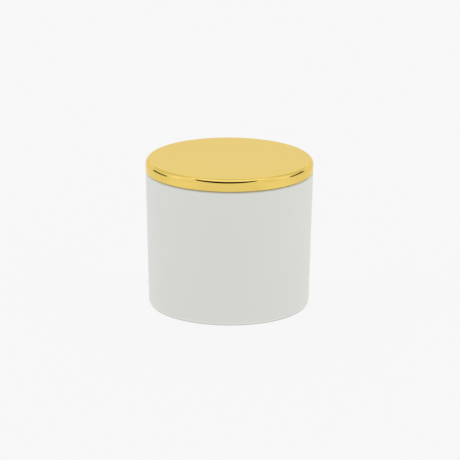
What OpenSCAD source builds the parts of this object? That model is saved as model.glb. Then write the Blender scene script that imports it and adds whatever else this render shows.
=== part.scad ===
// Double-wall cosmetic cream jar with a screw lid.
// A moulded outer jar holds a snapped-in cup whose threaded neck stands inside the jar's rim, so that
// the lid's threaded skirt goes down between the two and only a thin metal rim shows above the jar.
// Origin: centre of the standing ring. +Z runs up along the jar's axis. Millimetres.

/* [Overall] */
// Diameter of the lid, the widest part
lid_d = 60; // [50:0.5:76]
// Height of the closed jar
total_h = 53.7; // [44:0.1:72]

/* [Outer jar] */
// How far the lid's edge stands out past the jar's rim
lid_overhang = 0.1; // [0:0.05:1]
// How far the foot is set in from the rim, each side
jar_draft = 1.1; // [0:0.1:2]
// Wall at the rim
rim_wall = 2.1; // [1.5:0.1:3]
// Wall below the ledge that carries the cup
jar_wall = 2.9; // [2.4:0.1:4.5]
// Floor of the outer jar
jar_floor = 2.5; // [1.5:0.1:4]
// Radius round the foot
foot_round = 1.5; // [0.6:0.1:2.5]
// Radius on the rim's two edges
rim_round = 0.8; // [0.1:0.05:1]
// Depth of the label recess under the foot
recess_h = 1; // [0.5:0.1:2]
// Width of the ring that the jar stands on
ring_w = 2.6; // [1.5:0.1:5]
// Outer radius of the ring that props the cup's floor
prop_r = 10.5; // [7:0.5:14]
// Wall of the prop ring
prop_wall = 1.5; // [1:0.1:3]

/* [Cup] */
// Wall of the neck
neck_wall = 1.5; // [1:0.1:2.2]
// Wall of the cup below the shoulder
cup_wall = 1.2; // [0.8:0.1:2]
// Floor of the cup
cup_floor = 1.3; // [0.8:0.1:2.5]
// How much narrower the cup is at its floor than at its mouth, each side
cup_draft = 0.7; // [0:0.1:1.5]
// Radius inside the cup, where wall meets floor
cup_round = 8; // [3:0.5:14]
// Gap between the cup's floor and the outer jar's floor
cup_standoff = 4; // [2:0.5:12]
// Thickness of the shoulder flange
shoulder_t = 1.5; // [1:0.1:2.5]
// Width of the ledge that the shoulder sits on
ledge_w = 0.8; // [0.5:0.1:1.2]
// Height of the snap bead round the shoulder
snap_w = 0.8; // [0.4:0.1:1]
// How far the snap bead stands out
snap_h = 0.25; // [0.1:0.05:0.4]
// Number of keys that stop the cup from turning
key_count = 4; // [2:1:8]
// Width of each key
key_w = 3; // [1.5:0.5:6]
// Depth of each key below the shoulder
key_h = 1.6; // [0.8:0.1:2.4]

/* [Thread] */
// Number of thread starts
starts = 3; // [1:1:4]
// Distance between neighbouring flights
pitch = 4; // [3.8:0.1:5]
// How far a flight stands out from its wall
thread_depth = 1.1; // [0.6:0.1:1.3]
// Axial width of a flight where it meets its wall
thread_root = 2; // [1.4:0.1:2.2]
// Axial width of a flight along its crest
thread_crest = 1; // [0.6:0.1:1.2]

/* [Lid] */
// Height of the metal rim that shows above the jar
lid_h = 4.3; // [3.4:0.05:8]
// Radius round the lid's top edge
lid_round = 2; // [0.8:0.1:2.5]
// Wall of the metal shell
shell_t = 0.6; // [0.4:0.1:1]
// Wall of the threaded skirt
skirt_wall = 1.3; // [1:0.1:2]
// How far the skirt reaches below the metal rim
skirt_drop = 9.1; // [8:0.1:14]
// How far the core's underside is set up from the metal rim's edge
core_inset = 0.35; // [0.1:0.05:1]
// Plate of the core, between ballast and liner
plate_t = 1.5; // [1:0.1:2.5]
// Thickness of the ballast disc
weight_t = 1.2; // [0.8:0.1:2]
// How far the ballast disc is set in from the cup's mouth
weight_inset = 1; // [0:0.5:4]
// Thickness of the foam liner
liner_t = 2; // [1:0.1:2.5]
// Number of ribs between the pockets in the core
rib_count = 12; // [6:1:24]
// Width of each rib
rib_w = 1.4; // [1:0.1:2.5]
// How far the bead that holds the liner stands in from the skirt
bead_h = 0.5; // [0.3:0.05:0.8]
// Width of the chamfer on the skirt's end
skirt_chamfer = 0.3; // [0.1:0.05:0.6]

/* [Sealing disc] */
// Thickness of the disc's rim
disc_rim_t = 1; // [0.6:0.1:1.5]
// Wall and floor of the disc
disc_wall = 0.9; // [0.6:0.1:1.4]
// How far the disc reaches down into the mouth
disc_depth = 5; // [3:0.1:8]
// How far the disc's rim is set in from the neck's outside
disc_inset = 0.2; // [0.1:0.1:1]
// Length of the finger tab
tab_l = 16; // [10:0.5:22]
// Thickness of the finger tab
tab_t = 1.4; // [0.8:0.1:2.5]
// How far the tab stops below the disc's rim
tab_drop = 0.4; // [0.2:0.1:1.5]
// Number of grip ridges on each side of the tab
grip_count = 3; // [1:1:4]
// Radius of a grip ridge
grip_r = 0.3; // [0.2:0.05:0.4]

/* [Base label] */
// Diameter of the label
label_d = 42; // [20:1:44]
// Thickness of the label
label_t = 0.12; // [0.08:0.02:0.3]

/* [Fits] */
// Gap between the metal rim and the jar's rim
rim_gap = 0.25; // [0.1:0.05:0.6]
// Gap between the skirt and the outer jar
skirt_gap = 0.5; // [0.3:0.05:1]
// Gap between each thread crest and the wall that it faces
crest_gap = 0.3; // [0.2:0.05:0.5]
// Gap between two flights that bear on each other, along the axis
flank_gap = 0.14; // [0.1:0.02:0.3]
// Gap under the skirt's end
shoulder_gap = 0.6; // [0.3:0.1:1.5]
// Gap round a snap bead, a key or a pressed-in disc
snug_gap = 0.05; // [0.02:0.01:0.1]
// Gap between the disc's plug and the mouth
plug_gap = 0.15; // [0.05:0.05:0.3]
// Gap round the liner, inside the skirt
liner_gap = 0.2; // [0.1:0.05:0.3]

/* [Hidden] */
$fn = 128;

gold = "#ead07f";
jar_white = "#d6d7d2";
cup_white = "#e9e9e4";
foam_white = "#f1f0ec";
core_white = "#dddcd6";
steel = "#8f9296";
label_silver = "#c9cacb";

// How far a fused detail is sunk into what carries it, and a cut runs past what it cuts
sink = 0.4;
// Steps in a rounded edge
round_steps = 8;

// Radii, from the lid's edge inwards
lid_r = lid_d / 2;
jar_r = lid_r - lid_overhang;
foot_r = jar_r - jar_draft;
bore_r = jar_r - rim_wall;
skirt_r = bore_r - skirt_gap;
skirt_in_r = skirt_r - skirt_wall;
neck_crest_r = skirt_in_r - crest_gap;
neck_r = neck_crest_r - thread_depth;
mouth_r = neck_r - neck_wall;
cup_in_r = mouth_r - cup_draft;
core_r = lid_r - shell_t - snug_gap;
weight_r = mouth_r - weight_inset;
plug_r = mouth_r - plug_gap;
liner_r = skirt_in_r - liner_gap;

// Heights, from the top down
edge_z = total_h - lid_h;
rim_z = edge_z - rim_gap;
shell_top_z = total_h - shell_t;
weight_z = shell_top_z - weight_t;
seat_z = weight_z - plate_t;
liner_z = seat_z - liner_t;
lip_z = liner_z - disc_rim_t;
skirt_z = edge_z - skirt_drop;
shoulder_z = skirt_z - shoulder_gap;
ledge_z = shoulder_z - shoulder_t;

// Heights, from the foot up
floor_z = recess_h + jar_floor;
cup_z = floor_z + cup_standoff;
cup_floor_z = cup_z + cup_floor;

// Thread: the lid's flights bear on the undersides of the neck's flights
lead = pitch * starts;
flank = (thread_root - thread_crest) / 2 / thread_depth;
flight_offset = thread_crest + flank * (thread_depth - crest_gap) + flank_gap;
flight_end_gap = 0.15;
lid_flight_z = skirt_z + thread_root / 2 + flight_end_gap;
neck_flight_z = lid_flight_z + flight_offset;
flight_climb = lip_z - flight_end_gap - thread_root / 2 - neck_flight_z;
// Least angle between the end of one flight and the start of the next
flight_spacing = 12;
flight_arc = min(360 / starts - flight_spacing, 360 * flight_climb / lead);

// Points along a quarter circle about [x, z], from angle a to angle b
function arc(x, z, r, a, b) = [
    for (i = [0:round_steps]) let (t = a + (b - a) * i / round_steps) [x + r * cos(t), z + r * sin(t)]
];

// Radius of the outer jar's outside at height z
function jar_out_r(z) = foot_r + jar_draft * z / rim_z;

// Radius of the cup's inside at height z: a straight bore in the neck, and drafted below the ledge
function cup_r(z) = mouth_r - cup_draft * max(0, ledge_z - z) / (ledge_z - cup_floor_z);

// The four corners of a flight's section at angle t. side is 1 on the outside of a wall, -1 on its
// inside; grow runs from 0, sunk in the wall, to 1, at full depth.
function flight_ring(wall_r, side, z, t, grow) =
    let (
        base_r = wall_r - side * sink,
        crest_r = wall_r + side * (thread_depth * grow - snug_gap * (1 - grow)),
        half_crest = thread_crest / 2,
        half_base = half_crest + flank * (thread_depth * grow + sink),
        section = [
            [base_r, z - half_base], [crest_r, z - half_crest],
            [crest_r, z + half_crest], [base_r, z + half_base],
        ]
    )
    [for (p = section) [p[0] * cos(t), p[0] * sin(t), p[1]]];

// One helical thread flight, with ends that run out into the wall
module flight(wall_r, side, start_z, start_a) {
    steps = 22;
    runout = 2;
    rings = [
        for (i = [0:steps])
            flight_ring(wall_r, side, start_z + lead * flight_arc * i / steps / 360,
                start_a + flight_arc * i / steps, min(1, i / runout, (steps - i) / runout))
    ];
    corners = 4;
    sides = [
        for (i = [0:steps - 1], k = [0:corners - 1])
            let (a = corners * i + k, b = corners * i + (k + 1) % corners)
            each [[a, a + corners, b], [b, a + corners, b + corners]]
    ];
    last = corners * steps;
    ends = [[0, 1, 2], [0, 2, 3], [last, last + 2, last + 1], [last, last + 3, last + 2]];
    faces = concat(sides, ends);
    points = [for (ring = rings, p = ring) p];
    polyhedron(points, side < 0 ? faces : [for (f = faces) [f[0], f[2], f[1]]], convexity = 6);
}

// Every start of a thread
module thread(wall_r, side, start_z) {
    for (i = [0:starts - 1])
        flight(wall_r, side, start_z, 360 * i / starts);
}

// One block for each key, standing on the ledge's height
module keys(width, depth, reach) {
    for (i = [0:key_count - 1])
        rotate(360 * i / key_count)
            translate([bore_r - ledge_w - reach, -width / 2, ledge_z - depth])
                cube([ledge_w + reach - snug_gap, width, depth + sink]);
}

// Section of the snap bead, or of its groove when gap is above 0
module snap_section(gap) {
    mid_z = ledge_z + shoulder_t / 2;
    polygon([
        [bore_r - sink, mid_z - snap_w / 2 - gap],
        [bore_r, mid_z - snap_w / 2 - gap],
        [bore_r + snap_h + gap, mid_z],
        [bore_r, mid_z + snap_w / 2 + gap],
        [bore_r - sink, mid_z + snap_w / 2 + gap],
    ]);
}

module outer_jar() {
    ledge_r = bore_r - ledge_w;
    ledge_h = 2.6;
    wall_r = jar_out_r(floor_z) - jar_wall;
    inner_round = 2;
    ring_r = foot_r - foot_round;
    color(jar_white) difference() {
        union() {
            rotate_extrude() polygon(concat(
                [[0, recess_h], [ring_r - ring_w - recess_h / 2, recess_h], [ring_r - ring_w, 0]],
                arc(jar_out_r(foot_round) - foot_round, foot_round, foot_round, -90, 0),
                arc(jar_r - rim_round, rim_z - rim_round, rim_round, 0, 90),
                arc(bore_r + rim_round, rim_z - rim_round, rim_round, 90, 180),
                [[bore_r, ledge_z], [ledge_r, ledge_z], [ledge_r, ledge_z - ledge_h]],
                arc(wall_r - inner_round, floor_z + inner_round, inner_round, 0, -90),
                [[0, floor_z]]
            ));
            // Ring that props the cup's floor
            translate([0, 0, floor_z - sink])
                difference() {
                    cylinder(r = prop_r, h = cup_z - floor_z + sink);
                    translate([0, 0, -sink]) cylinder(r = prop_r - prop_wall, h = cup_z - floor_z + 3 * sink);
                }
        }
        rotate_extrude() snap_section(snug_gap);
        keys(key_w + 2 * snug_gap, key_h + snug_gap, jar_wall);
    }
}

module inner_cup() {
    out_r = cup_r(ledge_z) + cup_wall;
    low_r = cup_r(cup_floor_z) + cup_wall;
    lip_round = 0.3;
    outer_round = cup_round + cup_wall;
    color(cup_white) {
        rotate_extrude() polygon(concat(
            [[0, cup_z]],
            arc(low_r - outer_round, cup_z + outer_round, outer_round, -90, 0),
            [[out_r, ledge_z], [bore_r, ledge_z], [bore_r, shoulder_z], [neck_r, shoulder_z]],
            arc(neck_r - lip_round, lip_z - lip_round, lip_round, 0, 90),
            arc(mouth_r + lip_round, lip_z - lip_round, lip_round, 90, 180),
            [[mouth_r, ledge_z]],
            arc(cup_in_r - cup_round, cup_floor_z + cup_round, cup_round, 0, -90),
            [[0, cup_floor_z]]
        ));
        rotate_extrude() snap_section(0);
        keys(key_w, key_h, 0);
        thread(neck_r, 1, neck_flight_z);
    }
}

module sealing_disc() {
    rim_r = neck_r - disc_inset;
    edge_round = 0.3;
    bottom_z = lip_z - disc_depth;
    floor_top_z = bottom_z + disc_wall;
    top_z = lip_z + disc_rim_t;
    corner = 1.6;
    tab_h = top_z - tab_drop - floor_top_z;
    color(cup_white) {
        rotate_extrude() polygon(concat(
            [[0, bottom_z]],
            arc(plug_r - corner, bottom_z + corner, corner, -90, 0),
            [[plug_r, lip_z]],
            arc(rim_r - edge_round, lip_z + edge_round, edge_round, -90, 0),
            arc(rim_r - edge_round, top_z - edge_round, edge_round, 0, 90),
            arc(plug_r - disc_wall + edge_round, top_z - edge_round, edge_round, 90, 180),
            arc(plug_r - corner, floor_top_z + corner - disc_wall, corner - disc_wall, 0, -90),
            [[0, floor_top_z]]
        ));
        // Finger tab: a fin with a round top across the middle, with grip ridges on both faces
        translate([0, 0, floor_top_z])
            rotate([90, 0, 0])
                translate([0, 0, -tab_t / 2])
                    linear_extrude(tab_t)
                        tab_outline(tab_h);
        for (i = [0:grip_count - 1], s = [-1, 1])
            translate([0, s * tab_t / 2, floor_top_z + tab_h * (i + 1) / (grip_count + 1)])
                rotate([0, 90, 0])
                    cylinder(r = grip_r, h = tab_l / 2, center = true, $fn = 32);
    }
}

// Outline of the tab: straight sides below, and round shoulders that take up most of its height
module tab_outline(h) {
    shoulder_r = 0.6 * h;
    translate([-tab_l / 2, -sink]) square([tab_l, h - shoulder_r + sink]);
    translate([-tab_l / 2 + shoulder_r, 0]) square([tab_l - 2 * shoulder_r, h]);
    for (s = [-1, 1])
        translate([s * (tab_l / 2 - shoulder_r), h - shoulder_r]) circle(r = shoulder_r);
}

module cap_liner() {
    color(foam_white)
        translate([0, 0, liner_z])
            cylinder(r = liner_r, h = liner_t);
}

module cap_core() {
    edge_round = lid_round - shell_t;
    under_z = edge_z + core_inset;
    pocket_in_r = weight_r + snug_gap + rib_w;
    pocket_out_r = core_r - edge_round - 0.4;
    pocket_floor = 1.2;
    pocket_z = under_z + pocket_floor;
    bead_w = 0.6;
    bead_z = liner_z - snug_gap;
    pocket_a = 360 / rib_count - 360 * rib_w / (2 * PI * skirt_r);
    color(core_white) {
        difference() {
            rotate_extrude() polygon(concat(
                [
                    [0, seat_z], [skirt_in_r, seat_z],
                    [skirt_in_r, bead_z], [skirt_in_r - bead_h, bead_z - bead_w / 2],
                    [skirt_in_r, bead_z - bead_w], [skirt_in_r, skirt_z],
                    [skirt_r - skirt_chamfer, skirt_z], [skirt_r, skirt_z + 2 * skirt_chamfer],
                    [skirt_r, under_z], [core_r, under_z],
                ],
                arc(core_r - edge_round, shell_top_z - edge_round, edge_round, 0, 90),
                [[weight_r + snug_gap, shell_top_z], [weight_r + snug_gap, weight_z], [0, weight_z]]
            ));
            for (i = [0:rib_count - 1])
                rotate(360 * i / rib_count)
                    rotate_extrude(angle = pocket_a)
                        translate([pocket_in_r, pocket_z])
                            square([pocket_out_r - pocket_in_r, shell_top_z - pocket_z + sink]);
        }
        thread(skirt_in_r, -1, lid_flight_z);
    }
}

module cap_weight() {
    color(steel)
        translate([0, 0, weight_z])
            cylinder(r = weight_r, h = weight_t);
}

module cap_shell() {
    inner_round = lid_round - shell_t;
    inner_r = lid_r - shell_t;
    edge_chamfer = 0.12;
    color(gold)
        rotate_extrude() polygon(concat(
            [[0, total_h]],
            arc(lid_r - lid_round, total_h - lid_round, lid_round, 90, 0),
            [
                [lid_r, edge_z + edge_chamfer], [lid_r - edge_chamfer, edge_z],
                [inner_r + edge_chamfer, edge_z], [inner_r, edge_z + edge_chamfer],
            ],
            arc(inner_r - inner_round, shell_top_z - inner_round, inner_round, 0, 90),
            [[0, shell_top_z]]
        ));
}

module base_label() {
    color(label_silver)
        translate([0, 0, recess_h - label_t])
            cylinder(d = label_d, h = label_t);
}

outer_jar();
inner_cup();
base_label();
sealing_disc();
cap_liner();
cap_core();
cap_weight();
cap_shell();
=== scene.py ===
"""Looks for a double-wall cosmetic cream jar with a polished gold screw lid.

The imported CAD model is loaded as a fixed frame. Each of its eight pieces is then modelled again at
full smoothness, dressed in a procedural material, and set to ride on the body that carries it.
Lengths in the classes are in millimetres, as a mould maker gives them, and Blender's are in metres.
"""

import logging
import math
from dataclasses import dataclass
from enum import Enum
from typing import Any, Callable, Sequence

import bmesh
import bpy
from mathutils import Matrix, Vector


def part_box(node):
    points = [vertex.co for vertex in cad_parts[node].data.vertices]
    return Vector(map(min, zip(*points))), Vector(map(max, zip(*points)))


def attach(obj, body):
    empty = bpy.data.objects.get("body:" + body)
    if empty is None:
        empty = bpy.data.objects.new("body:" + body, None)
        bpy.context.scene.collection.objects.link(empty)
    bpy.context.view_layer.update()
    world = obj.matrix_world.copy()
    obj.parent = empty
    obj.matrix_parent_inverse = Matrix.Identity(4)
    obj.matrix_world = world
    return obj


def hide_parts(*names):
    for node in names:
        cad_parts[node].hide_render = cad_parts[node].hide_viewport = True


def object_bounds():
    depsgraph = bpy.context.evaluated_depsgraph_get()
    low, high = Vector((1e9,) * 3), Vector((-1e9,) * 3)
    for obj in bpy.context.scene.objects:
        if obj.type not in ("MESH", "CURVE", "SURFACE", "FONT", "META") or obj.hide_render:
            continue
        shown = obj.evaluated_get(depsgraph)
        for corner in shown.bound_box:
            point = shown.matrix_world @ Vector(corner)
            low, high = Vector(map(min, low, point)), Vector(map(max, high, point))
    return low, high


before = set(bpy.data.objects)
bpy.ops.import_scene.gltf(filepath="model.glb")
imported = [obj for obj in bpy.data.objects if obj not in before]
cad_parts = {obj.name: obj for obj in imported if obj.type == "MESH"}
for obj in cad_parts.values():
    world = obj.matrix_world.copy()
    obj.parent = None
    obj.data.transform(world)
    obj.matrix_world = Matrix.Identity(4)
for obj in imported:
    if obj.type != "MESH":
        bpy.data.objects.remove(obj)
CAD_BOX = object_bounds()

MM = 0.001
# A ring of this many sides shows no corners on a piece 60 mm across
RING_SIDES = 192
# Radius of the ring where a turned form closes on the axis
HUB = 2.0
# Degrees between the rings of a rounding of at least each radius: large, shiny ones get the most
RING_STEPS = ((1.0, 4), (0.5, 9), (0.0, 18))
# Radii that break an outer edge and fill an inner corner where nothing asks for more
EDGE, FILLET = 0.15, 0.3
# Radius at the tip of a snap bead
BEAD_TIP = 0.1
# How far a detail reaches into or past the wall that it joins, so that the joint closes
BITE = 0.4
# Points this close to a plane are picked with it, and this close to each other become one
TOUCH, MERGE = 0.01, 0.001
# Edges that turn by more than this many degrees stay sharp
SHARP = 32.0
# Nearly all of a noise texture's values lie between these two
NOISE_LOW, NOISE_HIGH = 0.3, 0.7
# Height straight overhead, in degrees
ZENITH = 90.0

Piece = bpy.types.Object
Material = bpy.types.Material
Tree = bpy.types.NodeTree
Node = bpy.types.Node
Socket = bpy.types.NodeSocket
Colour = tuple[float, float, float, float]
# Radius and height of a corner, and the radius that rounds it
Corner = tuple[float, float, float]

log = logging.getLogger("cream_jar")


# ---------------------------------------------------------------- shared tools


class Body(Enum):
    """The moving bodies that a piece can ride on."""

    JAR = "jar"
    DISC = "disc"
    LINER = "liner"
    LID = "lid"


class Join(Enum):
    """How a detail meets the piece that carries it."""

    ADD = "UNION"
    CUT = "DIFFERENCE"


@dataclass(frozen=True)
class Extent:
    """How far a CAD node reaches, in millimetres."""

    radius: float
    bottom: float
    top: float

    @classmethod
    def of(cls, node: str) -> "Extent":
        """Read the reach of one CAD node."""
        low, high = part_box(node)
        return cls(high.x / MM, low.z / MM, high.z / MM)


def linear(hex_colour: str, shade: float = 1.0) -> Colour:
    """Turn an sRGB hex colour into the linear colour that a shader socket takes.

    Args:
        hex_colour: Six hex digits after a #.
        shade: Factor on the linear colour.

    Returns:
        Red, green and blue, all linear, and an alpha of 1.
    """
    values = [int(hex_colour[i:i + 2], 16) / 255 for i in (1, 3, 5)]
    red, green, blue = (v / 12.92 if v <= 0.04045 else ((v + 0.055) / 1.055) ** 2.4 for v in values)
    return red * shade, green * shade, blue * shade, 1.0


def add_node(
    tree: Tree, kind: str, inputs: dict[str | int, Any] | None = None, **settings: Any
) -> Node:
    """Add one shader node with its settings and inputs.

    Args:
        tree: The node tree that the node goes into.
        kind: The node's type, without its ShaderNode prefix.
        inputs: Value of each input, by name or number. An output socket as the value makes a link.
        **settings: The node's own properties.

    Returns:
        The new node.
    """
    node = tree.nodes.new("ShaderNode" + kind)
    for key, value in settings.items():
        setattr(node, key, value)
    for key, value in (inputs or {}).items():
        if isinstance(value, Socket):
            tree.links.new(value, node.inputs[key])
        else:
            node.inputs[key].default_value = value
    return node


def rounded(corners: Sequence[Corner]) -> list[tuple[float, float]]:
    """Round the corners of a profile, each with its own radius.

    Args:
        corners: The profile's corners in order. The first and last stay sharp.

    Returns:
        Radius and height of each point of the rounded profile.
    """
    points = [corners[0][:2]]
    for before, corner, after in zip(corners, corners[1:], corners[2:]):
        here = Vector(corner[:2])
        back, on = (Vector(before[:2]) - here).normalized(), (Vector(after[:2]) - here).normalized()
        half = back.angle(on) / 2
        radius = corner[2]
        if not radius:
            points.append(tuple(here))
            continue
        centre = here + (back + on).normalized() * radius / math.sin(half)
        start = here + back * radius / math.tan(half) - centre
        turn = start.angle_signed(here + on * radius / math.tan(half) - centre)
        spacing = next(angle for least, angle in RING_STEPS if radius >= least)
        steps = max(3, round(abs(math.degrees(turn)) / spacing))
        for step in range(steps + 1):
            angle = -turn * step / steps
            spoke = Matrix.Rotation(angle, 2) @ start
            points.append(tuple(centre + spoke))
    points.append(corners[-1][:2])
    return points


def select_none() -> None:
    """Deselect everything, so that an operator acts only on what comes next."""
    if bpy.context.mode != "OBJECT":
        bpy.ops.object.mode_set(mode="OBJECT")
    bpy.ops.object.select_all(action="DESELECT")


def pick(piece: Piece) -> None:
    """Select one object alone and make it active.

    Args:
        piece: The object.
    """
    select_none()
    piece.select_set(True)
    bpy.context.view_layer.objects.active = piece


def pick_points(piece: Piece, test: Callable[[Vector], bool]) -> None:
    """Select vertices by their place, in edit mode.

    Args:
        piece: The piece that is being shaped.
        test: Says of a place, in millimetres, whether its vertex is selected.
    """
    shape = bmesh.from_edit_mesh(piece.data)
    for vertex in shape.verts:
        vertex.select = test(vertex.co / MM)
    shape.select_flush(True)
    shape.select_flush(False)
    bmesh.update_edit_mesh(piece.data)


def spin_by(angle: float) -> None:
    """Turn what is selected about the upright axis, by an angle in degrees."""
    bpy.ops.transform.rotate(value=-math.radians(angle), orient_axis="Z", center_override=(0, 0, 0))


def named(piece: Piece, name: str) -> Piece:
    """Name a piece and its mesh alike."""
    piece.name = piece.data.name = name
    return piece


def turned(name: str, corners: Sequence[Corner]) -> Piece:
    """Model a turned form by extruding and scaling one ring along a profile.

    Args:
        name: The piece's name.
        corners: Radius, height and rounding of each corner. Both ends lie on flats about the axis.

    Returns:
        The closed form, with its faces pointing outwards.
    """
    points = rounded(corners)
    select_none()
    radius, height = points[0]
    bpy.ops.mesh.primitive_circle_add(vertices=RING_SIDES, radius=radius * MM, fill_type="NGON")
    piece = named(bpy.context.object, name)
    bpy.ops.object.mode_set(mode="EDIT")
    bpy.ops.mesh.select_mode(type="EDGE")
    bpy.ops.mesh.select_all(action="SELECT")
    bpy.ops.transform.translate(value=(0, 0, height * MM))
    for next_radius, next_height in points[1:]:
        grow = next_radius / radius
        bpy.ops.mesh.extrude_edges_move(
            TRANSFORM_OT_translate={"value": (0, 0, (next_height - height) * MM)}
        )
        bpy.ops.transform.resize(value=(grow, grow, 1), center_override=(0, 0, next_height * MM))
        radius, height = next_radius, next_height
    bpy.ops.mesh.edge_face_add()
    bpy.ops.mesh.select_all(action="SELECT")
    bpy.ops.mesh.normals_make_consistent(inside=False)
    bpy.ops.object.mode_set(mode="OBJECT")
    return piece


def block(name: str, low: Sequence[float], high: Sequence[float]) -> Piece:
    """Model a square block between two corners, and leave it in edit mode.

    Args:
        name: The block's name.
        low: Its lowest corner, in millimetres.
        high: Its highest corner, in millimetres.

    Returns:
        The block, selected all over.
    """
    select_none()
    bpy.ops.mesh.primitive_cube_add(size=1)
    piece = named(bpy.context.object, name)
    bpy.ops.object.mode_set(mode="EDIT")
    bpy.ops.mesh.select_all(action="SELECT")
    size = [(b - a) * MM for a, b in zip(low, high)]
    middle = [(a + b) / 2 * MM for a, b in zip(low, high)]
    bpy.ops.transform.resize(value=size, center_override=(0, 0, 0))
    bpy.ops.transform.translate(value=middle)
    return piece


def repeat(piece: Piece, count: int) -> Piece:
    """Copy a detail evenly round the axis, and close edit mode.

    Args:
        piece: The detail, in edit mode.
        count: How many there are in the end.

    Returns:
        The detail with all its copies.
    """
    bpy.ops.mesh.select_all(action="SELECT")
    for _ in range(count - 1):
        bpy.ops.mesh.duplicate()
        spin_by(360 / count)
    bpy.ops.mesh.select_all(action="SELECT")
    bpy.ops.mesh.normals_make_consistent(inside=False)
    bpy.ops.object.mode_set(mode="OBJECT")
    return piece


def join(piece: Piece, detail: Piece, how: Join = Join.ADD) -> None:
    """Add a closed detail to a piece, or cut it out, and use the detail up.

    Args:
        piece: The piece that is changed.
        detail: The closed detail.
        how: Whether the detail is added or cut out.
    """
    pick(piece)
    joiner = piece.modifiers.new(how.name, "BOOLEAN")
    joiner.operation = how.value
    joiner.solver = "EXACT"
    joiner.object = detail
    bpy.ops.object.modifier_apply(modifier=joiner.name)
    bpy.data.objects.remove(detail)


def finish_piece(piece: Piece, body: Body, node: str, material: Material) -> None:
    """Shade a piece, dress it, tie it to its body, and hide the CAD node that it stands for.

    Args:
        piece: The modelled piece.
        body: The body that it rides on.
        node: The CAD node that it replaces.
        material: The finish.
    """
    pick(piece)
    bpy.ops.object.mode_set(mode="EDIT")
    bpy.ops.mesh.select_all(action="SELECT")
    bpy.ops.mesh.remove_doubles(threshold=MERGE * MM)
    bpy.ops.mesh.normals_make_consistent(inside=False)
    bpy.ops.object.mode_set(mode="OBJECT")
    bpy.ops.object.shade_smooth_by_angle(angle=math.radians(SHARP))
    # The largest faces set the normals, so that flats stay flat next to roundings
    weighted = piece.modifiers.new("Flats stay flat", "WEIGHTED_NORMAL")
    weighted.keep_sharp = True
    weighted.weight = 100
    bpy.ops.object.modifier_apply(modifier=weighted.name)
    piece.data.materials.clear()
    piece.data.materials.append(material)
    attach(piece, body.value)
    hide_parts(node)
    log.info("%s: %d faces, rides on the %s", piece.name, len(piece.data.polygons), body.value)


# ---------------------------------------------------------------- finishes


def new_material(name: str) -> tuple[Material, Tree, Node]:
    """Start a material that has only its main shader.

    Args:
        name: The material's name.

    Returns:
        The material, its node tree and the shader.
    """
    material = bpy.data.materials.new(name)
    material.use_nodes = True
    return material, material.node_tree, material.node_tree.nodes["Principled BSDF"]


@dataclass(frozen=True)
class MouldedPlastic:
    """Injection-moulded polymer: an even colour under a fine skin from the mould's surface."""

    name: str
    colour: str
    roughness: float
    # Size of the mould's grain, drawn coarser than the real 0.05 mm so that it shows, and its depth
    grain: float = 0.4
    depth: float = 0.004
    ior: float = 1.49
    # Share of light that creeps through the wall, how far it gets, and each colour's share of that
    translucence: float = 0.0
    bleed: float = 0.8
    reach: tuple[float, float, float] = (1.0, 0.95, 0.9)
    # The melt's flow leaves a slow drift in the shade: its size and its darkest shade
    drift_size: float = 18.0
    drift_shade: float = 0.985
    # How far the grain moves the roughness either way
    uneven: float = 0.03

    def make(self) -> Material:
        """Build the material.

        Returns:
            The finish as a node-based material.
        """
        material, tree, shader = new_material(self.name)
        shader.inputs["IOR"].default_value = self.ior
        shader.inputs["Subsurface Weight"].default_value = self.translucence
        shader.inputs["Subsurface Radius"].default_value = self.reach
        shader.inputs["Subsurface Scale"].default_value = self.bleed * MM
        place = add_node(tree, "TexCoord").outputs["Object"]
        slow, fine = 1 / (self.drift_size * MM), 1 / (self.grain * MM)
        flow = add_node(tree, "TexNoise", {"Vector": place, "Scale": slow, "Detail": 2.0})
        shades = {6: linear(self.colour), 7: linear(self.colour, self.drift_shade)}
        tint = add_node(tree, "Mix", {0: flow.outputs[0], **shades}, data_type="RGBA")
        skin = add_node(tree, "TexNoise", {"Vector": place, "Scale": fine, "Detail": 3.0})
        sheen = add_node(
            tree, "MapRange",
            {
                "Value": skin.outputs[0], "From Min": NOISE_LOW, "From Max": NOISE_HIGH,
                "To Min": self.roughness - self.uneven, "To Max": self.roughness + self.uneven,
            },
        )
        relief = add_node(
            tree, "Bump", {"Height": skin.outputs[0], "Distance": self.depth * MM, "Strength": 0.6}
        )
        tree.links.new(tint.outputs[2], shader.inputs["Base Color"])
        tree.links.new(sheen.outputs[0], shader.inputs["Roughness"])
        tree.links.new(relief.outputs[0], shader.inputs["Normal"])
        return material


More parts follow.
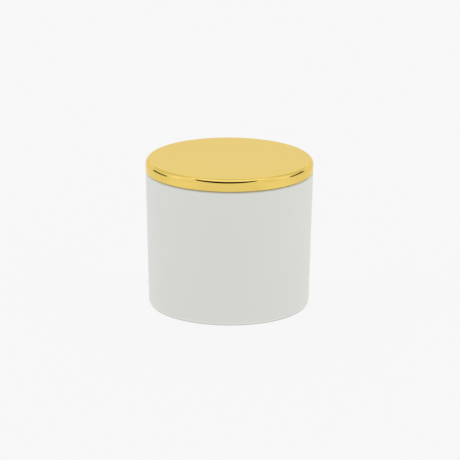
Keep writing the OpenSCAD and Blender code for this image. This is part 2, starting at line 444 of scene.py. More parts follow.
@dataclass(frozen=True)
class PolishedMetal:
    """Metal with a mirror or satin polish: one tint, paler at a glancing view, and fine marks."""

    name: str
    colour: str
    edge_colour: str
    roughness: float
    # Length and width of the marks that rolling or polishing leaves, and their depth
    mark: tuple[float, float] = (0.6, 0.6)
    depth: float = 0.0
    # How much the marks lower and raise the roughness
    haze: tuple[float, float] = (0.8, 1.25)

    def make(self) -> Material:
        """Build the material.

        Returns:
            The finish as a node-based material.
        """
        material, tree, shader = new_material(self.name)
        shader.inputs["Base Color"].default_value = linear(self.colour)
        shader.inputs["Metallic"].default_value = 1.0
        shader.inputs["Specular Tint"].default_value = linear(self.edge_colour)
        place = add_node(tree, "TexCoord").outputs["Object"]
        long, wide = self.mark
        along, across = 1 / (long * MM), 1 / (wide * MM)
        grain = add_node(tree, "Mapping", {0: place, 3: (along, across, across)})
        noise = {"Vector": grain.outputs[0], "Scale": 1.0, "Detail": 4.0}
        marks = add_node(tree, "TexNoise", noise).outputs[0]
        gloss = add_node(
            tree, "MapRange",
            {
                "Value": marks, "From Min": NOISE_LOW, "From Max": NOISE_HIGH,
                "To Min": self.roughness * self.haze[0], "To Max": self.roughness * self.haze[1],
            },
        )
        tree.links.new(gloss.outputs[0], shader.inputs["Roughness"])
        if self.depth:
            relief = add_node(
                tree, "Bump", {"Height": marks, "Distance": self.depth * MM, "Strength": 0.5}
            )
            tree.links.new(relief.outputs[0], shader.inputs["Normal"])
        return material


@dataclass(frozen=True)
class CellFoam:
    """Expanded polyethylene under a pressed film: matte white, dimpled by the cells beneath."""

    name: str
    colour: str
    roughness: float
    # Width of a cell, how deep the dimple between its walls is, and the painted shade that darkens
    # it where the bump sinks
    cell: float
    depth: float
    painted_dimple_shade: float = 0.93
    ior: float = 1.5

    def make(self) -> Material:
        """Build the material.

        Returns:
            The finish as a node-based material.
        """
        material, tree, shader = new_material(self.name)
        shader.inputs["Roughness"].default_value = self.roughness
        shader.inputs["IOR"].default_value = self.ior
        place = add_node(tree, "TexCoord").outputs["Object"]
        cells = add_node(
            tree, "TexVoronoi", {"Vector": place, "Scale": 1 / (self.cell * MM), "Randomness": 0.9}
        )
        walls = add_node(
            tree, "MapRange", {"Value": cells.outputs["Distance"], "From Min": 0.0, "From Max": 0.6}
        )
        # Painted shade: the colour darkens where the bump sinks
        shades = {6: linear(self.colour), 7: linear(self.colour, self.painted_dimple_shade)}
        tint = add_node(tree, "Mix", {0: walls.outputs[0], **shades}, data_type="RGBA")
        relief = add_node(
            tree, "Bump",
            {"Height": walls.outputs[0], "Distance": self.depth * MM, "Strength": 0.5},
            invert=True,
        )
        tree.links.new(tint.outputs[2], shader.inputs["Base Color"])
        tree.links.new(relief.outputs[0], shader.inputs["Normal"])
        return material


# ---------------------------------------------------------------- the screw


@dataclass
class Thread:
    """A three-start thread whose lid turns up 12 mm in each full turn."""

    # Flights: number, rise in a full turn, depth, width at root and crest, and the crest's rounding
    starts: int = 3
    lead: float = 12.0
    depth: float = 1.1
    root: float = 2.0
    crest: float = 1.0
    crest_round: float = 0.25
    # How far a flight is sunk into its wall, and the room at crests, flanks and ends
    sink: float = 0.4
    crest_gap: float = 0.3
    flank_gap: float = 0.14
    end_gap: float = 0.15
    # Degrees kept clear between one flight's end and the next one's start
    start_gap: float = 12.0
    # Degrees between the steps of a flight, and the share of full depth at the steps of its run-out
    step: float = 2.0
    runout: tuple[float, ...] = (0.24, 0.45, 0.66, 0.83, 0.95)

    def low_flight(self, skirt_bottom: float) -> float:
        """Height where the lid's flights start."""
        return skirt_bottom + self.root / 2 + self.end_gap

    def high_flight(self, skirt_bottom: float) -> float:
        """Work out where the neck's flights start, so that the lid's bear on their undersides.

        Args:
            skirt_bottom: Height of the skirt's lower edge.

        Returns:
            Height of a flight's middle where it starts.
        """
        slope = (self.root - self.crest) / 2 / self.depth
        offset = self.crest + slope * (self.depth - self.crest_gap) + self.flank_gap
        return self.low_flight(skirt_bottom) + offset

    def arc(self, skirt_bottom: float, lip: float) -> float:
        """Degrees that each flight spans before it meets the lip."""
        climb = lip - self.end_gap - self.root / 2 - self.high_flight(skirt_bottom)
        return min(360 / self.starts - self.start_gap, 360 * climb / self.lead)

    def flights(self, name: str, wall: float, side: int, bottom: float, span: float) -> Piece:
        """Sweep one flight along its helix and copy it to every start.

        Args:
            name: Name of the new detail.
            wall: Radius of the wall that carries the flights.
            side: 1 when they stand on the outside of the wall, -1 on its inside.
            bottom: Height of a flight's middle where it starts.
            span: Degrees that each flight spans.

        Returns:
            The flights as closed bars, sunk into the wall by a little.
        """
        select_none()
        bpy.ops.mesh.primitive_plane_add(size=1)
        piece = named(bpy.context.object, name)
        reach = self.depth + self.sink
        base = wall - side * self.sink
        # The section's width grows evenly from its crest to the part that is sunk
        widest = self.crest + (self.root - self.crest) * reach / self.depth
        bpy.ops.object.mode_set(mode="EDIT")
        bpy.ops.mesh.select_all(action="SELECT")
        bpy.ops.transform.rotate(value=math.pi / 2, orient_axis="X", center_override=(0, 0, 0))
        bpy.ops.transform.resize(value=(reach * MM, 1, widest * MM), center_override=(0, 0, 0))
        pick_points(piece, lambda p: p.x * side > 0)
        bpy.ops.transform.resize(value=(1, 1, self.crest / widest), center_override=(0, 0, 0))
        bpy.ops.mesh.bevel(offset=self.crest_round * MM, segments=3, affect="VERTICES")
        bpy.ops.mesh.select_all(action="SELECT")
        bpy.ops.transform.translate(value=((base + side * reach / 2) * MM, 0, bottom * MM))
        steps = round(span / self.step)
        turn, rise = span / steps, self.lead * span / 360 / steps
        grow = [*self.runout, *[1.0] * (steps + 1 - 2 * len(self.runout)), *reversed(self.runout)]
        self.scale_section(grow[0], base, 0, bottom)
        for i in range(1, steps + 1):
            bpy.ops.mesh.extrude_region_move(TRANSFORM_OT_translate={"value": (0, 0, rise * MM)})
            spin_by(turn)
            self.scale_section(grow[i] / grow[i - 1], base, turn * i, bottom + rise * i)
        return repeat(piece, self.starts)

    def scale_section(self, factor: float, base: float, angle: float, height: float) -> None:
        """Scale the selected section about the point where it is sunk into the wall.

        Args:
            factor: How much it grows.
            base: Radius of that point.
            angle: Its angle round the axis, in degrees.
            height: Its height.
        """
        if factor != 1:
            root = Matrix.Rotation(math.radians(angle), 3, "Z") @ Vector((base, 0, height)) * MM
            bpy.ops.transform.resize(value=(factor,) * 3, center_override=root)


# ---------------------------------------------------------------- the jar


@dataclass
class Jar:
    """Outer jar, the cup snapped into it, and the label under its foot."""

    thread: Thread
    # Outer jar
    rim_wall: float = 2.1
    jar_wall: float = 2.9
    jar_draft: float = 1.1
    jar_floor: float = 2.5
    foot_round: float = 1.5
    rim_round: float = 0.8
    recess: float = 1.0
    ring_wall: float = 2.6
    prop_r: float = 10.5
    prop_wall: float = 1.5
    prop_round: float = 0.2
    floor_round: float = 2.0
    # Fit of the cup in the jar
    ledge_w: float = 0.8
    ledge_h: float = 2.6
    ledge_round: float = 0.4
    shoulder_t: float = 1.5
    shoulder_gap: float = 0.6
    shoulder_round: float = 0.4
    snap_w: float = 0.8
    snap_h: float = 0.25
    key_count: int = 4
    key_w: float = 3.0
    key_h: float = 1.6
    snug: float = 0.05
    # Cup
    neck_wall: float = 1.5
    cup_wall: float = 1.2
    cup_floor: float = 1.3
    cup_draft: float = 0.7
    cup_round: float = 8.0
    lip_round: float = 0.3
    # The lid's skirt stands in the bore: the room round it, and its wall
    skirt_gap: float = 0.5
    skirt_wall: float = 1.3
    # Label
    label_edge: float = 0.04

    def __post_init__(self) -> None:
        """Work out the heights and radii that the jar and its cup share."""
        self.outer = Extent.of("outer_jar")
        self.cup = Extent.of("inner_cup")
        self.skirt_bottom = Extent.of("cap_core").bottom
        self.bore_r = self.outer.radius - self.rim_wall
        self.shoulder_z = self.skirt_bottom - self.shoulder_gap
        self.ledge_z = self.shoulder_z - self.shoulder_t
        self.floor_z = self.recess + self.jar_floor

    def build(self) -> None:
        """Model and dress every piece of the jar."""
        self.outer_jar()
        self.inner_cup()
        self.base_label()

    def keys(self, width: float, depth: float, inwards: float) -> Piece:
        """Model the blocks that stop the cup from turning, or the slots that take them.

        Args:
            width: Width of each block.
            depth: How far each block hangs below the ledge.
            inwards: How far each block reaches in past the ledge.

        Returns:
            The blocks.
        """
        low = (self.bore_r - self.ledge_w - inwards, -width / 2, self.ledge_z - depth)
        high = (self.bore_r - self.snug, width / 2, self.ledge_z + BITE)
        return repeat(block("keys", low, high), self.key_count)

    def outer_jar(self) -> None:
        """Model the outer jar: foot, drafted side, rim, ledge, and the ring that props the cup."""
        jar_r, rim_z, floor_z = self.outer.radius, self.outer.top, self.floor_z
        foot_r = jar_r - self.jar_draft
        ring_r = foot_r - self.foot_round - self.ring_wall
        wall_r = foot_r + self.jar_draft * floor_z / rim_z - self.jar_wall
        ledge_r = self.bore_r - self.ledge_w
        groove_z = self.ledge_z + self.shoulder_t / 2
        half_groove = self.snap_w / 2 + self.snug
        prop_in_r = self.prop_r - self.prop_wall
        piece = turned("outer_jar_moulding", [
            (HUB, self.recess, 0),
            (ring_r - self.recess / 2, self.recess, FILLET),
            (ring_r, 0, EDGE),
            (foot_r, 0, self.foot_round),
            (jar_r, rim_z, self.rim_round),
            (self.bore_r, rim_z, self.rim_round),
            (self.bore_r, groove_z + half_groove, 0),
            (self.bore_r + self.snap_h + self.snug, groove_z, 0),
            (self.bore_r, groove_z - half_groove, 0),
            (self.bore_r, self.ledge_z, 0),
            (ledge_r, self.ledge_z, EDGE),
            (ledge_r, self.ledge_z - self.ledge_h, self.ledge_round),
            (wall_r, floor_z, self.floor_round),
            (self.prop_r, floor_z, FILLET),
            (self.prop_r, self.cup.bottom, self.prop_round),
            (prop_in_r, self.cup.bottom, self.prop_round),
            (prop_in_r, floor_z, FILLET),
            (HUB, floor_z, 0),
        ])
        slots = self.keys(self.key_w + 2 * self.snug, self.key_h + self.snug, self.jar_wall)
        join(piece, slots, Join.CUT)
        # White polypropylene from a finely blasted mould: a soft, broad sheen and no mirror image
        finish = MouldedPlastic("moulded_white_polypropylene", "#e5e6e0", 0.48)
        finish_piece(piece, Body.JAR, "outer_jar", finish.make())

    def inner_cup(self) -> None:
        """Model the cup: well, shoulder with its snap bead and keys, and threaded neck."""
        mouth_r = self.neck_r - self.neck_wall
        low_in_r = mouth_r - self.cup_draft
        floor_z = self.cup.bottom + self.cup_floor
        bead_z = self.ledge_z + self.shoulder_t / 2
        piece = turned("inner_cup_moulding", [
            (HUB, self.cup.bottom, 0),
            (low_in_r + self.cup_wall, self.cup.bottom, self.cup_round + self.cup_wall),
            (mouth_r + self.cup_wall, self.ledge_z, self.shoulder_round),
            (self.bore_r, self.ledge_z, EDGE),
            (self.bore_r, bead_z - self.snap_w / 2, 0),
            (self.bore_r + self.snap_h, bead_z, BEAD_TIP),
            (self.bore_r, bead_z + self.snap_w / 2, 0),
            (self.bore_r, self.shoulder_z, self.shoulder_round / 2),
            (self.neck_r, self.shoulder_z, self.shoulder_round),
            (self.neck_r, self.cup.top, self.lip_round),
            (mouth_r, self.cup.top, self.lip_round),
            (mouth_r, self.ledge_z, 0),
            (low_in_r, floor_z, self.cup_round),
            (HUB, floor_z, 0),
        ])
        join(piece, self.keys(self.key_w, self.key_h, 0))
        span = self.thread.arc(self.skirt_bottom, self.cup.top)
        bottom = self.thread.high_flight(self.skirt_bottom)
        join(piece, self.thread.flights("neck_thread", self.neck_r, 1, bottom, span))
        # White polypropylene from a polished mould: a shade greyer and glossier than the outer jar
        finish = MouldedPlastic(
            "moulded_polypropylene_cup", "#e8e9e4", 0.22, depth=0.002, translucence=0.08
        )
        finish_piece(piece, Body.JAR, "inner_cup", finish.make())

    @property
    def neck_r(self) -> float:
        """Radius of the neck's wall, in from the skirt by the thread's depth and crest gap."""
        skirt_in_r = self.bore_r - self.skirt_gap - self.skirt_wall
        return skirt_in_r - self.thread.crest_gap - self.thread.depth

    def base_label(self) -> None:
        """Model the blank label stuck in the foot's recess."""
        label = Extent.of("base_label")
        piece = turned("base_label_film", [
            (HUB, label.bottom, 0),
            (label.radius, label.bottom, self.label_edge),
            (label.radius, label.top, self.label_edge),
            (HUB, label.top, 0),
        ])
        # Silver polyester film: soft metal gloss with the fine lengthwise grain of the drawn web
        finish = PolishedMetal(
            "silver_polyester_film", "#c6c8ca", "#f4f5f6", 0.3, mark=(9.0, 0.25), depth=0.002
        )
        finish_piece(piece, Body.JAR, "base_label", finish.make())


@dataclass
class SealingDisc:
    """Plug disc that closes the cup under the lid, with a finger tab in its hollow."""

    wall: float = 0.9
    rim_t: float = 1.0
    plug_gap: float = 0.15
    corner: float = 1.6
    edge_round: float = 0.3
    lip_fillet: float = 0.1
    tab_l: float = 16.0
    tab_t: float = 1.4
    tab_drop: float = 0.4
    tab_edge: float = 0.2
    # Share of the tab's height that each round shoulder takes
    tab_shoulder: float = 0.6
    grip_count: int = 3
    grip_r: float = 0.3
    grip_edge: float = 0.12

    def build(self, mouth_r: float) -> None:
        """Model and dress the disc.

        Args:
            mouth_r: Radius of the cup's mouth.
        """
        disc = Extent.of("sealing_disc")
        plug_r = mouth_r - self.plug_gap
        lip_z = disc.top - self.rim_t
        floor_z = disc.bottom + self.wall
        piece = turned("sealing_disc_moulding", [
            (HUB, disc.bottom, 0),
            (plug_r, disc.bottom, self.corner),
            (plug_r, lip_z, self.lip_fillet),
            (disc.radius, lip_z, self.edge_round),
            (disc.radius, disc.top, self.edge_round),
            (plug_r - self.wall, disc.top, self.edge_round),
            (plug_r - self.wall, floor_z, self.corner - self.wall),
            (HUB, floor_z, 0),
        ])
        join(piece, self.tab(floor_z, disc.top - self.tab_drop))
        for detail in self.ridges(floor_z, disc.top - self.tab_drop):
            join(piece, detail)
        # Low-density polyethylene: milky, soft and matte, so that light creeps in at its edges
        finish = MouldedPlastic(
            "moulded_soft_polyethylene", "#f0f0ec", 0.42, translucence=0.2, bleed=1.2
        )
        finish_piece(piece, Body.DISC, "sealing_disc", finish.make())

    def tab(self, bottom: float, top: float) -> Piece:
        """Model the finger tab: a thin fin with broad round shoulders and softened edges.

        Args:
            bottom: Height of the floor that it stands on.
            top: Height of its upper edge.

        Returns:
            The tab.
        """
        half_l, half_t = self.tab_l / 2, self.tab_t / 2
        shoulder = self.tab_shoulder * (top - bottom)
        piece = block("tab", (-half_l, -half_t, bottom - BITE), (half_l, half_t, top))
        for side in (-1, 1):
            pick_points(piece, lambda p: p.x * side > half_l - TOUCH and p.z > top - TOUCH)
            bpy.ops.mesh.bevel(offset=shoulder * MM, segments=14, affect="EDGES")
        # Every edge of the two faces, but for the one that is sunk in the floor
        for side in (-1, 1):
            pick_points(piece, lambda p: p.y * side > half_t - TOUCH and p.z > bottom - BITE / 2)
            bpy.ops.mesh.region_to_loop()
            bpy.ops.mesh.bevel(
                offset=self.tab_edge * MM, segments=3, affect="EDGES", clamp_overlap=True
            )
        bpy.ops.object.mode_set(mode="OBJECT")
        return piece

    def ridges(self, bottom: float, top: float) -> list[Piece]:
        """Model the round grip ridges on both faces of the tab.

        Args:
            bottom: Height of the floor that the tab stands on.
            top: Height of the tab's upper edge.

        Returns:
            The ridges, one by one.
        """
        ridges = []
        length = self.tab_l / 2
        for row in range(1, self.grip_count + 1):
            for side in (-1, 1):
                select_none()
                bpy.ops.mesh.primitive_cylinder_add(
                    vertices=24, radius=self.grip_r * MM, depth=length * MM,
                    rotation=(0, math.pi / 2, 0),
                )
                ridge = named(bpy.context.object, "ridge")
                bpy.ops.object.transform_apply(location=False, rotation=True, scale=False)
                bpy.ops.object.mode_set(mode="EDIT")
                for end in (-1, 1):
                    pick_points(ridge, lambda p: p.x * end > length / 2 - TOUCH)
                    bpy.ops.mesh.bevel(offset=self.grip_edge * MM, segments=3, affect="EDGES")
                bpy.ops.mesh.select_all(action="SELECT")
                height = bottom + (top - bottom) * row / (self.grip_count + 1)
                bpy.ops.transform.translate(value=(0, side * self.tab_t / 2 * MM, height * MM))
                bpy.ops.object.mode_set(mode="OBJECT")
                ridges.append(ridge)
        return ridges


# ---------------------------------------------------------------- the lid


@dataclass
class ScrewLid:
    """Metal shell, moulded core with the thread, ballast disc and foam liner."""

    thread: Thread
    shell_t: float = 0.6
    lid_round: float = 2.0
    edge_chamfer: float = 0.12
    skirt_wall: float = 1.3
    core_inset: float = 0.35
    plate_t: float = 1.5
    weight_gap: float = 0.05
    rib_count: int = 12
    rib_w: float = 1.4
    # Pockets between the ribs: their floor, the land outside them, and the steps of each sweep
    pocket_floor: float = 1.2
    pocket_land: float = 0.4
    pocket_steps: int = 10
    bead_h: float = 0.5
    bead_w: float = 0.6
    skirt_chamfer: float = 0.3
    skirt_round: float = 0.25
    seat_fillet: float = 0.2
    well_edge: float = 0.1
    liner_gap: float = 0.2

    def __post_init__(self) -> None:
        """Read how far the lid's nodes reach."""
        self.shell = Extent.of("cap_shell")
        self.core = Extent.of("cap_core")
        self.weight = Extent.of("cap_weight")
        self.liner = Extent.of("cap_liner")

    def build(self) -> None:
        """Model and dress every piece of the lid."""
        self.metal_shell()
        self.moulded_core()
        self.ballast()
        self.foam_liner()

    def metal_shell(self) -> None:
        """Model the drawn shell: a flat top, a rounded edge and a short straight side."""
        lid_r, edge_z, top_z = self.shell.radius, self.shell.bottom, self.shell.top
        inner_r, inner_z = lid_r - self.shell_t, top_z - self.shell_t
        piece = turned("lid_shell_metal", [
            (HUB, top_z, 0),
            (lid_r, top_z, self.lid_round),
            (lid_r, edge_z, self.edge_chamfer),
            (inner_r, edge_z, self.edge_chamfer),
            (inner_r, inner_z, self.lid_round - self.shell_t),
            (HUB, inner_z, 0),
        ])
        # Deep-drawn aluminium, brightened and gold anodised: a near mirror with the faintest haze
        finish = PolishedMetal("gold_anodised_aluminium", "#ebcd6e", "#fff7dc", 0.05)
        finish_piece(piece, Body.LID, "cap_shell", finish.make())

    def moulded_core(self) -> None:
        """Model the core: plate, pocketed flange, and the skirt with its thread and liner bead."""
        core_r, top_z = self.core.radius, self.core.top
        skirt_in_r = self.liner.radius + self.liner_gap
        skirt_r = skirt_in_r + self.skirt_wall
        skirt_z = self.core.bottom
        under_z = self.shell.bottom + self.core_inset
        seat_z = self.weight.bottom - self.plate_t
        bead_z = self.liner.bottom - self.weight_gap
        well_r = self.weight.radius + self.weight_gap
        edge_round = self.lid_round - self.shell_t
        piece = turned("lid_core_moulding", [
            (HUB, seat_z, 0),
            (skirt_in_r, seat_z, self.seat_fillet),
            (skirt_in_r, bead_z, 0),
            (skirt_in_r - self.bead_h, bead_z - self.bead_w / 2, BEAD_TIP),
            (skirt_in_r, bead_z - self.bead_w, 0),
            (skirt_in_r, skirt_z, self.skirt_round),
            (skirt_r - self.skirt_chamfer, skirt_z, EDGE),
            (skirt_r, skirt_z + 2 * self.skirt_chamfer, FILLET),
            (skirt_r, under_z, FILLET),
            (core_r, under_z, EDGE),
            (core_r, top_z, edge_round),
            (well_r, top_z, self.well_edge),
            (well_r, self.weight.bottom, 0),
            (HUB, self.weight.bottom, 0),
        ])
        low_r, high_r = well_r + self.rib_w, core_r - edge_round - self.pocket_land
        low_z = under_z + self.pocket_floor
        arc = 360 / self.rib_count - math.degrees(self.rib_w / skirt_r)
        join(piece, self.pockets(low_r, high_r, low_z, top_z + BITE, arc), Join.CUT)
        span = self.thread.arc(skirt_z, Extent.of("inner_cup").top)
        bottom = self.thread.low_flight(skirt_z)
        join(piece, self.thread.flights("skirt_thread", skirt_in_r, -1, bottom, span))
        # White polypropylene from a polished mould, like the cup's
        finish = MouldedPlastic("moulded_white_lid_core", "#e4e5df", 0.25, depth=0.002)
        finish_piece(piece, Body.LID, "cap_core", finish.make())

    def pockets(
        self, low_r: float, high_r: float, low_z: float, high_z: float, arc: float
    ) -> Piece:
        """Sweep the pockets that core the flange out between its ribs.

        Args:
            low_r: Radius of each pocket's inner wall.
            high_r: Radius of its outer wall.
            low_z: Height of its floor.
            high_z: Height of its open end.
            arc: Degrees that it spans.

        Returns:
            The pockets as solid bars.
        """
        select_none()
        bpy.ops.mesh.primitive_plane_add(size=1)
        piece = named(bpy.context.object, "pockets")
        bpy.ops.object.mode_set(mode="EDIT")
        bpy.ops.mesh.select_all(action="SELECT")
        bpy.ops.transform.rotate(value=math.pi / 2, orient_axis="X", center_override=(0, 0, 0))
        bpy.ops.transform.resize(
            value=((high_r - low_r) * MM, 1, (high_z - low_z) * MM), center_override=(0, 0, 0)
        )
        bpy.ops.transform.translate(value=((low_r + high_r) / 2 * MM, 0, (low_z + high_z) / 2 * MM))
        for _ in range(self.pocket_steps):
            bpy.ops.mesh.extrude_region_move()
            spin_by(arc / self.pocket_steps)
        return repeat(piece, self.rib_count)

    def ballast(self) -> None:
        """Model the ballast disc that gives the lid its weight."""
        piece = turned("lid_ballast_plate", [
            (HUB, self.weight.bottom, 0),
            (self.weight.radius, self.weight.bottom, EDGE),
            (self.weight.radius, self.weight.top, EDGE),
            (HUB, self.weight.top, 0),
        ])
        # Zinc-plated sheet steel: cool grey, satin, with the rolling direction still to be seen
        finish = PolishedMetal(
            "zinc_plated_steel", "#a9adb2", "#e6e9ee", 0.34, mark=(6.0, 0.3), depth=0.004
        )
        finish_piece(piece, Body.LID, "cap_weight", finish.make())

    def foam_liner(self) -> None:
        """Model the die-cut foam liner behind the skirt's bead."""
        piece = turned("lid_foam_liner", [
            (HUB, self.liner.bottom, 0),
            (self.liner.radius, self.liner.bottom, EDGE),
            (self.liner.radius, self.liner.top, EDGE),
            (HUB, self.liner.top, 0),
        ])
        # White expanded polyethylene: soft and matte, with the cells showing as faint dimples
        finish = CellFoam("expanded_polyethylene_foam", "#f3f2ee", 0.55, cell=0.7, depth=0.03)
        finish_piece(piece, Body.LINER, "cap_liner", finish.make())


# ---------------------------------------------------------------- the studio


@dataclass(frozen=True)
class SkyPatch:
    """Part of the light tent: how much light it gives, and its place in degrees.

    Azimuth is counted from the camera's side, towards its right hand, and height from the level.
    The edges fade over the last value.
    """

    light: float
    azimuth: tuple[float, float]
    height: tuple[float, float]
    soft: float


@dataclass
class Studio:
    """A light tent over a pale table, with a long lens in its front and an opening above that."""

    # Table: its size in metres, its colour, its own light and that light's share
    table_size: float = 8.0
    opal: str = "#f7f7f7"
    table_light: float = 0.95
    table_glow: float = 0.9
    # Painted glow added at its sides and in front, and where that starts and ends
    painted_side_glow: float = 0.08
    painted_glow_across: tuple[float, float] = (110.0, 170.0)
    painted_glow_ahead: tuple[float, float] = (-40.0, 20.0)
    # Painted shadow under the foot: the glow left there, and the radii where it starts to fade in
    # and is full
    painted_shadow_glow: float = 0.35
    painted_shadow_fade: tuple[float, float] = (27.6, 28.5)
    # Tent: its light, the change either way above and below, and the heights where it changes
    tent_light: float = 0.96
    tent_change: float = 0.05
    tent_step: tuple[float, float] = (13.0, 20.0)
    patches: tuple[SkyPatch, ...] = (
        # The tent's side by the camera's right hand is a little dimmer than the left
        SkyPatch(0.92, (50, 76), (15, 60), 6.0),
        # Strip lights left and right, and the softbox overhead
        SkyPatch(1.15, (-92, -74), (14, 42), 6.0),
        SkyPatch(1.12, (74, 94), (14, 42), 6.0),
        SkyPatch(1.25, (-110, 110), (62, 91), 4.0),
        # Dim cloths high behind the jar and at its back corners
        SkyPatch(0.80, (155, 205), (50, 86), 6.0),
        SkyPatch(0.82, (112, 157), (24, 60), 6.0),
        SkyPatch(0.82, (-157, -112), (24, 60), 6.0),
        # Gaps between the cloths at both sides
        SkyPatch(0.10, (-126, -94), (-1, 15), 3.0),
        SkyPatch(0.10, (93, 125), (9, 24), 3.0),
    )
    # The opening in front: its light, its reach in azimuth and height, and how its edges fade
    gap_light: float = 0.01
    gap_azimuth: tuple[float, float] = (-73.0, 60.0)
    gap_height: tuple[float, float] = (25.0, 60.0)
    gap_soft: float = 3.0
    gap_side_soft: float = 2.0
    # Camera: elevation and roll in degrees, and its distance, lens, sensor and aim in millimetres
    elevation: float = 16.49
    distance: float = 1063.2
    lens: float = 231.64
    sensor: float = 36.0
    roll: float = 0.31
    aim: tuple[float, float] = (0.30, -0.08)

    def build(self) -> None:
        """Set the table, the tent and the camera."""
        bpy.context.scene.view_settings.view_transform = "Standard"
        self.table()
        self.tent()
        self.camera()

    def table(self) -> None:
        """Lay the table: opal acrylic that glows evenly, so that the jar casts only a faint shadow,
        with a painted shadow close round the foot and painted glow at its sides in front.
        """
        sides_start, sides_full = self.painted_glow_across
        front_start, front_end = self.painted_glow_ahead
        fade_start, fade_full = self.painted_shadow_fade
        select_none()
        bpy.ops.mesh.primitive_plane_add(size=self.table_size)
        table = named(bpy.context.object, "table")
        material = bpy.data.materials.new("glowing_opal_painted_shade_and_glow")
        material.use_nodes = True
        tree = material.node_tree
        tree.nodes.clear()
        place = add_node(tree, "TexCoord").outputs["Object"]
        axes = add_node(tree, "SeparateXYZ", {0: place})
        across = add_node(tree, "Math", {0: axes.outputs["X"]}, operation="ABSOLUTE")
        forward = add_node(
            tree, "MapRange",
            {
                "Value": axes.outputs["Y"], "To Min": 1.0, "To Max": 0.0,
                "From Min": front_start * MM, "From Max": front_end * MM,
            },
        )
        # Painted glow at both sides, and none under the jar itself
        sides = add_node(
            tree, "MapRange",
            {
                "Value": across.outputs[0], "To Max": self.painted_side_glow,
                "From Min": sides_start * MM, "From Max": sides_full * MM,
            },
            interpolation_type="SMOOTHSTEP",
        )
        glow_with_painted_pools = add_node(
            tree, "Math", {0: sides.outputs[0], 1: forward.outputs[0], 2: self.table_light},
            operation="MULTIPLY_ADD",
        )
        # Painted contact shadow: the glow drops under the foot and comes back just past its edge
        away = add_node(tree, "VectorMath", {0: place}, operation="LENGTH")
        under = add_node(
            tree, "MapRange",
            {
                "Value": away.outputs["Value"], "To Min": self.painted_shadow_glow,
                "From Min": fade_start * MM, "From Max": fade_full * MM,
            },
            interpolation_type="SMOOTHSTEP",
        )
        strength = add_node(
            tree, "Math", {0: glow_with_painted_pools.outputs[0], 1: under.outputs[0]}, operation="MULTIPLY"
        )
        matte = add_node(tree, "BsdfDiffuse", {"Color": linear(self.opal)})
        glow = add_node(tree, "Emission", {"Color": (1, 1, 1, 1), "Strength": strength.outputs[0]})
        both = add_node(
            tree, "MixShader", {0: self.table_glow, 1: matte.outputs[0], 2: glow.outputs[0]}
        )
        add_node(tree, "OutputMaterial", {"Surface": both.outputs[0]})
        table.data.materials.append(material)

    def tent(self) -> None:
        """Light the jar from all round, cloth by cloth, with dark gaps where no cloths meet."""
        step_low, step_high = (math.radians(angle) for angle in self.tent_step)
        world = bpy.data.worlds.new("light_tent")
        bpy.context.scene.world = world
        world.use_nodes = True
        tree = world.node_tree
        tree.nodes.clear()
        place = add_node(tree, "TexCoord").outputs["Generated"]
        axes = add_node(tree, "SeparateXYZ", {0: place})
        towards = add_node(tree, "Math", {0: axes.outputs["Y"], 1: -1.0}, operation="MULTIPLY")
        azimuth = add_node(
            tree, "Math", {0: axes.outputs["X"], 1: towards.outputs[0]}, operation="ARCTAN2"
        ).outputs[0]
        height = add_node(tree, "Math", {0: axes.outputs["Z"]}, operation="ARCSINE").outputs[0]
        light = add_node(
            tree, "MapRange",
            {
                "Value": height, "From Min": step_low, "From Max": step_high,
                "To Min": self.tent_light - self.tent_change,
                "To Max": self.tent_light + self.tent_change,
            },
        ).outputs[0]
        for patch in self.patches:
            angle = azimuth
            if patch.azimuth[1] > 180:
                # Azimuth jumps right behind the jar, so there it is counted from the other side
                angle = add_node(
                    tree, "Math", {0: azimuth, 1: 2 * math.pi, 2: 0.0}, operation="WRAP"
                ).outputs[0]
            across = self.window(tree, angle, *patch.azimuth, patch.soft)
            up = self.window(tree, height, *patch.height, patch.soft)
            mask = add_node(tree, "Math", {0: across, 1: up}, operation="MULTIPLY")
            light = add_node(tree, "Mix", {0: mask.outputs[0], 2: light, 3: patch.light}).outputs[0]
        gap = self.front_gap(tree, azimuth, height)
        light = add_node(tree, "Mix", {0: gap, 2: light, 3: self.gap_light}).outputs[0]
        glow = add_node(tree, "Background", {"Color": (1, 1, 1, 1), "Strength": light})
        add_node(tree, "OutputWorld", {"Surface": glow.outputs[0]})

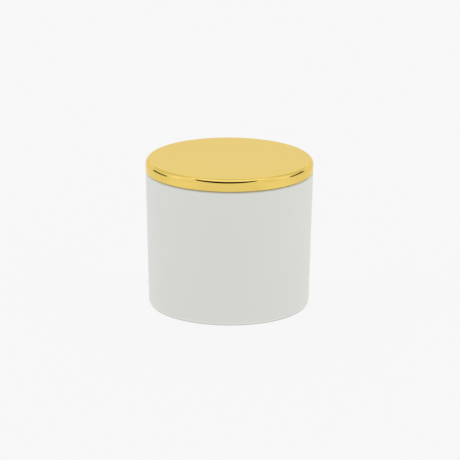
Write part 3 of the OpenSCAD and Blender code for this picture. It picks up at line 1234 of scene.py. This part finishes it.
    def front_gap(self, tree: Tree, azimuth: Socket, height: Socket) -> Socket:
        """Mask the opening in the tent's front, whose lower edge sags towards the middle.

        Args:
            tree: The world's node tree.
            azimuth: Azimuth of the view, in radians.
            height: Height of the view, in radians.

        Returns:
            A socket that is 1 in the opening and 0 outside it.
        """
        low, high = self.gap_azimuth
        bottom, top = self.gap_height
        middle, half = math.radians(low + high) / 2, math.radians(high - low) / 2
        aside = add_node(tree, "Math", {0: azimuth, 1: middle}, operation="SUBTRACT").outputs[0]
        share = add_node(tree, "Math", {0: aside, 1: half}, operation="DIVIDE").outputs[0]
        square = add_node(tree, "Math", {0: share, 1: share}, operation="MULTIPLY")
        drop = math.radians(bottom) - math.radians(top)
        sag = add_node(
            tree, "Math", {0: square.outputs[0], 1: drop, 2: height}, operation="MULTIPLY_ADD"
        ).outputs[0]
        above = self.window(tree, sag, bottom, ZENITH, self.gap_soft)
        below = self.window(tree, height, -ZENITH, top, self.gap_soft)
        across = self.window(tree, azimuth, low, high, self.gap_side_soft)
        upright = add_node(tree, "Math", {0: above, 1: below}, operation="MULTIPLY")
        mask = add_node(tree, "Math", {0: upright.outputs[0], 1: across}, operation="MULTIPLY")
        return mask.outputs[0]

    def window(self, tree: Tree, angle: Socket, low: float, high: float, soft: float) -> Socket:
        """Mask the angles between two limits.

        Args:
            tree: The world's node tree.
            angle: The angle, in radians.
            low: Where the mask starts, in degrees.
            high: Where it ends, in degrees.
            soft: Width of the fade at each limit, in degrees.

        Returns:
            A socket that is 1 between the limits and 0 past them.
        """
        low, high, half = (math.radians(v) for v in (low, high, soft / 2))
        rise = add_node(
            tree, "MapRange", {"Value": angle, "From Min": low - half, "From Max": low + half}
        )
        fall = add_node(
            tree, "MapRange",
            {
                "Value": angle, "From Min": high - half, "From Max": high + half,
                "To Min": 1.0, "To Max": 0.0,
            },
        )
        ends = {0: rise.outputs[0], 1: fall.outputs[0]}
        return add_node(tree, "Math", ends, operation="MULTIPLY").outputs[0]

    def camera(self) -> None:
        """Set the camera a little above the lid, level but for a slight roll."""
        _, high = CAD_BOX
        aim = Vector((self.aim[0] * MM, 0, high[2] / 2 + self.aim[1] * MM))
        tilt = math.radians(self.elevation)
        data = bpy.data.cameras.new("camera")
        data.lens, data.sensor_width = self.lens, self.sensor
        camera = bpy.data.objects.new("camera", data)
        bpy.context.scene.collection.objects.link(camera)
        back = Vector((0, -math.cos(tilt), math.sin(tilt))) * self.distance * MM
        turn = Matrix.Rotation(math.pi / 2 - tilt, 4, "X")
        roll = Matrix.Rotation(math.radians(self.roll), 4, "Z")
        camera.matrix_world = Matrix.Translation(aim + back) @ (turn @ roll)
        bpy.context.scene.camera = camera


def main() -> None:
    """Build the studio, the jar and its closure, and report each piece."""
    logging.basicConfig(level=logging.INFO, format="%(name)s: %(message)s")
    Studio().build()
    thread = Thread()
    jar = Jar(thread)
    jar.build()
    SealingDisc().build(jar.neck_r - jar.neck_wall)
    ScrewLid(thread).build()


if __name__ == "__main__":
    main()
